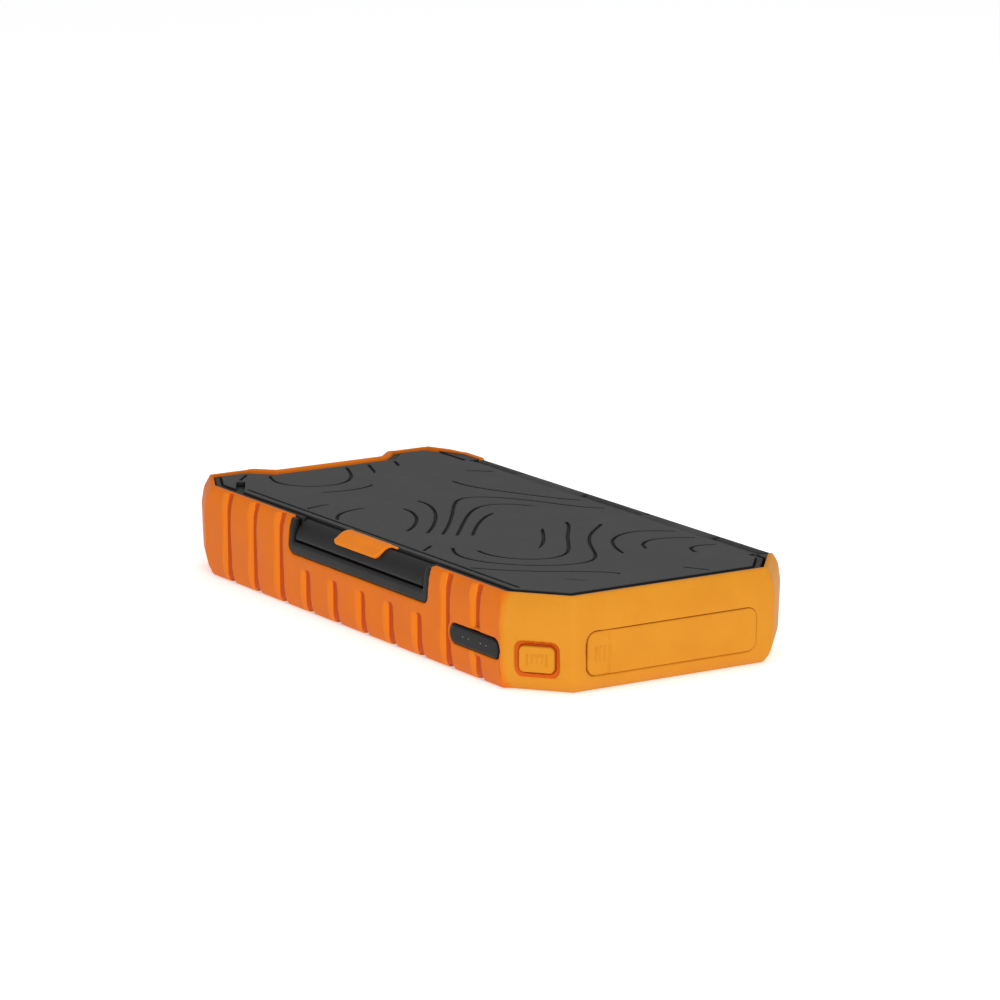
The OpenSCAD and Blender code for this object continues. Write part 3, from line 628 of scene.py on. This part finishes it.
def contour_lines(x, y):
    """Level lines of the landscape, as on a map, broken here and there."""
    step = 0.05
    rise_x = hills(x + step, y) - hills(x - step, y)
    rise_y = hills(x, y + step) - hills(x, y - step)
    slope = np.hypot(rise_x, rise_y) / (2 * step)
    height = hills(x, y)
    off = np.abs(height - LEVEL * np.round(height / LEVEL))
    breaks = 9 * (np.sin(x / 11 + 1.3 * np.sin(y / 9)) - 0.35)
    return np.maximum(off / (slope + 0.001) - LINE_R, breaks)


def make_pad():
    v = Volume((-97, -44, PAD_Z0 - 0.6), (97, 42, PAD_Z1 + 0.6), 0.25 * COARSE)
    x, y, z = v.x, v.y, v.z
    # a slanted slot near the front left corner
    ca, sa = math.cos(SLOT_TURN), math.sin(SLOT_TURN)
    px, py = x + HALF_L - 22.5, y + HALF_W - 8.9
    slot = plate(px * ca + py * sa, py * ca - px * sa, 0, 0, 14, 2.6, 0.6)
    plan = cut(lid_area(x, y, PAD_O, 1.0), slot, 0.5)
    d = both(plan, z - PAD_Z1, 0.3)
    d = np.maximum(d, PAD_Z0 - z)
    # the contour lines keep clear of the edges, the straight line and the slot
    inner = np.maximum(lid_area(x, y, PAD_O + 2.5, 1.0), 1.5 - CREASE - y)
    lines = np.maximum(contour_lines(x, y), np.maximum(inner, 2 - slot))
    crease = np.hypot(np.maximum(np.abs(x - CREASE_MID) - CREASE_L / 2, 0), y + CREASE) - LINE_R
    v.d = cut(d, both(np.minimum(lines, crease), PAD_Z1 - LINE_D - z, 0.2), 0.08)
    return v.mesh("pad", 0.02)


place(make_pad(), "pad_rubber", "lid", "lid_pad")


def make_lid():
    v = Volume((-99, -50, HINGE_Z - KNUCKLE_R - 5), (99, 50, LID_TOP + 1), 0.4 * COARSE)
    x, y, z = v.x, v.y, v.z
    d = both(lid_area(x, y, LID_O, 0.8), z - LID_TOP, 0.35)
    d = both(d, LID_Z - z, 0.2)
    d = np.maximum(d, -np.maximum(np.abs(x - WINDOW_X) - SKIRT_L / 2 - 0.3, y - SKIRT_Y))
    r = np.hypot(y - SKIRT_Y, z - SKIRT_Z)
    arc = np.maximum(np.maximum(r - SKIRT_R, SKIRT_R - SKIRT_T - r), np.maximum(y - SKIRT_Y, SKIRT_Z - z))
    bridge = np.maximum(between(y, SKIRT_Y - 0.1, SKIRT_Y + 1), between(z, LID_TOP - SKIRT_T, LID_TOP))
    d = np.minimum(d, both(np.minimum(arc, bridge), np.abs(x - WINDOW_X) - SKIRT_L / 2, 0.3))
    barrel = np.hypot(y - HINGE_Y, z - HINGE_Z)
    for lo, hi in LID_KNUCKLES:
        arm = np.maximum(between(y, LID_BACK - 1, HINGE_Y), between(z, HINGE_Z, LID_TOP))
        d = np.minimum(d, both(np.minimum(barrel - KNUCKLE_R, arm), between(x, lo, hi), 0.25))
        d = np.maximum(d, -np.maximum(barrel - PIN_R - 0.06, between(x, lo - 1, hi + 1)))
    d = cut(d, np.maximum(lid_area(x, y, PAD_O - PAD_GAP, 0.8), PAD_Z0 - z), 0.2)
    for spot in MAGNETS:
        d = np.maximum(d, -np.maximum(np.hypot(x - spot[0], y - spot[1]) - 2.6, z - LID_Z - 1.3))
    v.d = d
    return v.mesh("lid_body", 0.02)


place(make_lid(), "black_plastic", "lid", "lid_shell")


def make_tab():
    v = Volume((-11, -51, 22), (23, -41, 30), 0.2 * COARSE)
    x, y, z = v.x, v.y, v.z
    r = np.hypot(y - SKIRT_Y, z - SKIRT_Z)
    # s runs down the curved front from the top of the lid
    s = np.arctan2(SKIRT_Y - y, z - SKIRT_Z) * 7
    u = np.abs(x - WINDOW_X)
    flare = plate(x, s, WINDOW_X + 1, 1.5, 27.8, 1, 0.5)
    shape = join(plate(x, s, WINDOW_X - 1.6, 4.3, 25.2, 6.8, 2.4), flare, 1.6)
    lip = 0.65 * np.clip((s - 4.9) / 1.6, 0, 1) ** 2
    d = both(shape, r - SKIRT_R - 0.5 - 0.25 * np.clip(s / 3, 0, 1) - lip, 0.3)
    d = np.maximum(d, SKIRT_R + 0.05 - r)
    for i in range(4):
        stroke = plate(u, s, 1.2 + 2.4 * i, 3.6, 0.5, 2 - 0.3 * i, 0.2)
        d = cut(d, np.maximum(stroke, SKIRT_R + 0.5 - r), 0.1)
    v.d = d
    return v.mesh("tab", 0.02)


tab = place(make_tab(), "sleeve_rubber", "lid", "pull_tab")
tab.data.materials[0] = finish("tab_rubber")


def make_bezel():
    v = Volume((-36, -50, 16), (46, -44, 29), 0.3 * COARSE)
    x, y, z = v.x, v.y, v.z
    depth = -skin(x, y, z)
    d = both(plate(x, z, WINDOW_X, WINDOW_Z + 20.2, WINDOW_W - 0.4, 40, 2.8), 0.1 - depth, 0.3)
    d = np.maximum(d, np.maximum(y + HALF_W - 3.15, z - LID_TOP + 0.2))
    v.d = cut(d, np.maximum(np.abs(x - WINDOW_X) - WINDOW_W / 2 + STRIP, LIP_Z - z), 0.3)
    return v.mesh("bezel", 0.02)


place(make_bezel(), "black_plastic", "housing", "window_bezel")


def make_pill():
    v = Volume((55, -50, 7), (85, -45, 16), 0.25 * COARSE)
    x, y, z = v.x, v.y, v.z
    front = -HALF_W + RIB_SINK + 0.15
    d = both(plate(x, z, PILL_X, PILL_Z, PILL_L, PILL_H, PILL_H / 2), front - y, 0.5)
    v.d = np.maximum(d, y + HALF_W - WALL - 0.05)
    return v.mesh("charge_window", 0.02), front


pill, pill_front = make_pill()
place(pill, "smoked_lens", "housing", "indicator_lens")


def make_marks():
    v = Volume((62, pill_front - 0.8, PILL_Z - 1), (78, pill_front + 0.8, PILL_Z + 1), 0.1 * COARSE)
    x, y, z = v.x, v.y, v.z
    d = np.full(np.broadcast(x, y, z).shape, 9, np.float32)
    for spot in LEDS:
        dot = both(np.hypot(x - spot, z - PILL_Z) - 0.2, pill_front - 0.06 - y, 0.05)
        d = np.minimum(d, np.maximum(dot, y - pill_front - 0.3))
    v.d = d
    return v.mesh("charge_dots")


place(make_marks(), "steel", "housing")

# ---- floor, lights and camera -----------------------------------------------------


def make_floor():
    made = bpy.data.meshes.new("floor")
    size, drop = 6.0, -0.0002
    corners = [(-size, -size, drop), (size, -size, drop), (size, size, drop), (-size, size, drop)]
    made.from_pydata(corners, [], [(0, 1, 2, 3)])
    floor = bpy.data.objects.new("floor", made)
    bpy.context.scene.collection.objects.link(floor)
    paper = Finish("paper", (0.92, 0.92, 0.92, 1), (0.9, 0.9, 0.9, 1), (0.8, 0.9), mottle=2, grain=40, bump=0.02)
    paper.set(Emission_Color=(1, 1, 1, 1), Emission_Strength=0.4)
    made.materials.append(paper.material)


make_floor()

world = bpy.data.worlds.new("studio")
bpy.context.scene.world = world
world.use_nodes = True
world.node_tree.nodes["Background"].inputs["Color"].default_value = (1, 1, 1, 1)
world.node_tree.nodes["Background"].inputs["Strength"].default_value = 0.55


def lamp(name, spot, size, power):
    data = bpy.data.lights.new(name, "AREA")
    data.shape = "DISK"
    data.size = size
    data.energy = power
    obj = bpy.data.objects.new(name, data)
    obj.location = spot
    obj.rotation_euler = (Vector((0, 0, 0)) - Vector(spot)).to_track_quat("-Z", "Y").to_euler()
    bpy.context.scene.collection.objects.link(obj)


lamp("key", (1.4, -0.5, 0.6), 0.6, 11)
lamp("top", (0.0, 0.2, 1.6), 1.6, 6)
lamp("fill", (-0.3, -1.5, 0.7), 1.2, 2)

AZIMUTH, ELEVATION, DISTANCE = math.radians(57.38), math.radians(12.41), 1512.4
back = Vector((math.sin(AZIMUTH) * math.cos(ELEVATION), -math.cos(AZIMUTH) * math.cos(ELEVATION), math.sin(ELEVATION)))
right = Vector((math.cos(AZIMUTH), math.sin(AZIMUTH), 0))
up = back.cross(right)
camera_data = bpy.data.cameras.new("camera")
camera_data.sensor_width = 36
camera_data.lens = 180
camera_data.clip_start, camera_data.clip_end = 0.05, 50
camera = bpy.data.objects.new("camera", camera_data)
place_at = (4.37 * right + 33.2 * up + DISTANCE * back) * MM
camera.matrix_world = Matrix.Translation(place_at) @ Matrix((right, up, back)).transposed().to_4x4()
bpy.context.scene.collection.objects.link(camera)
bpy.context.scene.camera = camera
bpy.context.scene.view_settings.view_transform = "Standard"
